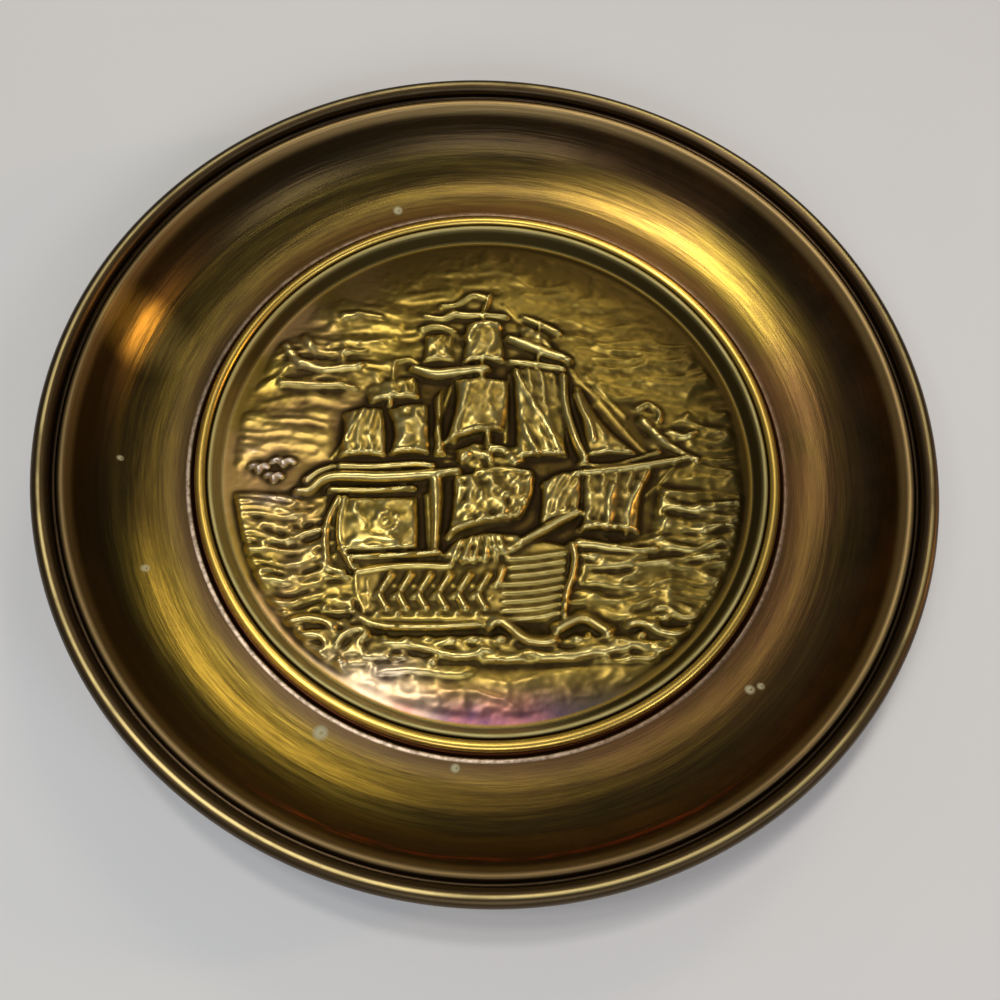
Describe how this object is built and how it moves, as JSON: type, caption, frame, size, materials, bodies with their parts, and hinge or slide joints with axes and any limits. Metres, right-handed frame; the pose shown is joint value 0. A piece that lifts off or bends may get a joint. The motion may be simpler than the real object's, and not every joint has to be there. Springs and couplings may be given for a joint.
{
  "type": "wall dish",
  "caption": "Round spun-brass wall dish with a rolled rim and a pressed ship medallion held under a wire ring; a small bail on the back hangs it on a hook.",
  "frame": {"origin": "centre of the dish's base, on the plane that it stands on", "axes": "+Z along the dish's axis towards the open side, +Y to the top of the picture, +X to its right"},
  "size_m": [0.152, 0.152, 0.0182],
  "materials": {
    "lacquered_brass": "aged brown-gold lacquer over finely turned brass",
    "pressed_brass": "antiqued pressing, dark in the hollows and rubbed bright on the relief",
    "ring_brass": "polished round wire",
    "hanger_brass": "dull rolled strip and drawn wire",
    "steel_wire": "plain drawn wire, hidden inside the rolled rim",
    "solder": "dull soft solder",
    "grey_board": "plain grey board, hidden under the medallion"
  },
  "bodies": {
    "plate": {"dish": "lacquered_brass", "rim_wire": "steel_wire", "medallion": "pressed_brass", "retaining_ring": "ring_brass", "packing_disc": "grey_board", "hanger_strap": "hanger_brass", "hanger_solder": "solder"},
    "bail": {"hanging_bail": "hanger_brass"}
  },
  "joints": [
    {"name": "bail_hinge", "type": "hinge", "parent": "plate", "child": "bail", "pos_m": [0, 0.0651, 0.0047], "axis": [1, 0, 0], "range_deg": [-130, 65]}
  ]
}
